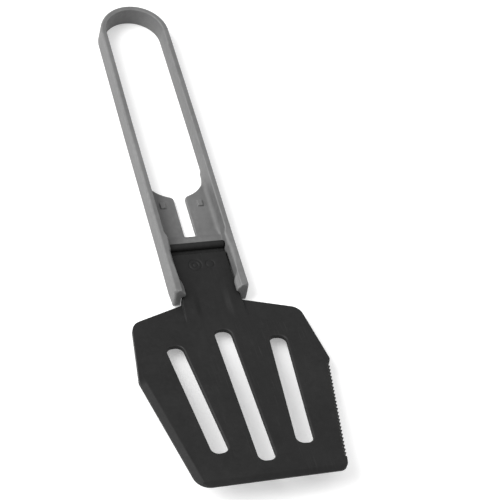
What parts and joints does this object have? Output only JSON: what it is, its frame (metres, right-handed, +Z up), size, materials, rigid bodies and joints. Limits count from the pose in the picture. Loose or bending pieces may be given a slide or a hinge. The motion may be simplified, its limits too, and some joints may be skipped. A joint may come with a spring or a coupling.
{
  "type": "folding camp spatula",
  "caption": "Folding camp-kitchen turner: a slotted black nylon blade hinged in a grey nylon loop handle, with a scraping edge and a serrated edge.",
  "frame": {"origin": "middle of the footprint of the open turner, on the plane of the handle's lower edges", "axes": "+Y from the blade's front edge to the handle's loop, +Z up out of the handle's open top, +X to the serrated edge's side"},
  "size_m": [0.0777, 0.245, 0.0151],
  "materials": {
    "handle_nylon": "satin moulded grey nylon with a fine spark-eroded grain",
    "blade_nylon": "satin moulded black nylon, glass-filled, with faint flow marks"
  },
  "bodies": {
    "handle": {"grip_loop": "handle_nylon", "left_rail": "handle_nylon", "right_rail": "handle_nylon", "left_web": "handle_nylon", "right_web": "handle_nylon", "left_web_pad": "handle_nylon", "right_web_pad": "handle_nylon", "cross_bar": "handle_nylon", "stop_shelf": "handle_nylon", "left_pivot_boss": "handle_nylon", "right_pivot_boss": "handle_nylon", "left_snap_lip": "handle_nylon", "right_snap_lip": "handle_nylon"},
    "blade": {"hinge_barrel": "blade_nylon", "neck": "blade_nylon", "left_gusset": "blade_nylon", "right_gusset": "blade_nylon", "blade_plate": "blade_nylon", "scraper_edge": "blade_nylon", "serrated_edge": "blade_nylon"}
  },
  "joints": [
    {"name": "blade_fold", "type": "hinge", "parent": "handle", "child": "blade", "pos_m": [0, -0.00749, 0.0047], "axis": [-1, 0, 0], "range_deg": [0, 172]}
  ]
}
